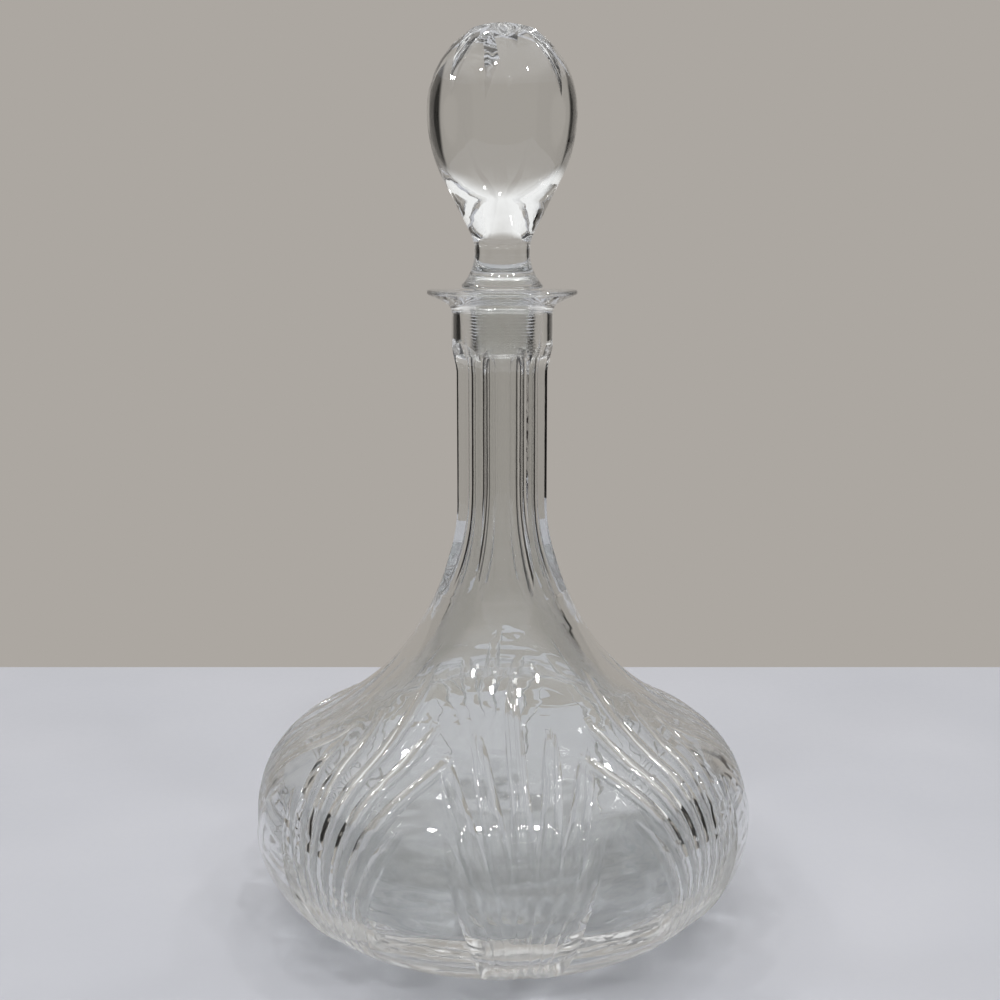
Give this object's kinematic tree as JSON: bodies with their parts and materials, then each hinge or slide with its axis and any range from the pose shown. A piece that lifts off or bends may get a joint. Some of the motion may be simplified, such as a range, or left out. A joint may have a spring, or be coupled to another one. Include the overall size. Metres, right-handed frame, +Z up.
{
  "type": "ships decanter",
  "caption": "Broad-based clear cut-glass ship's decanter with fans of flutes, a six-sided neck, a broad lip and a solid glass stopper with a leaf-cut top, ground into the mouth.",
  "frame": {"origin": "centre of the base, on the plane that it stands on", "axes": "+Z up along the decanter's axis, -Y towards the fan of flutes that faces the viewer, +X to the viewer's right"},
  "size_m": [0.1694, 0.1694, 0.2936],
  "materials": {
    "clear_glass": "clear cut and polished glass, with a fine-ground seat inside the mouth",
    "stopper_glass": "clear cut and polished glass, with a fine-ground peg"
  },
  "bodies": {
    "vessel": {"vessel": "clear_glass"},
    "stopper": {"stopper": "stopper_glass"}
  },
  "joints": [
    {"name": "stopper_lift", "type": "slide", "parent": "vessel", "child": "stopper", "axis": [0, 0, 1], "range_m": [0, 0.05]}
  ]
}
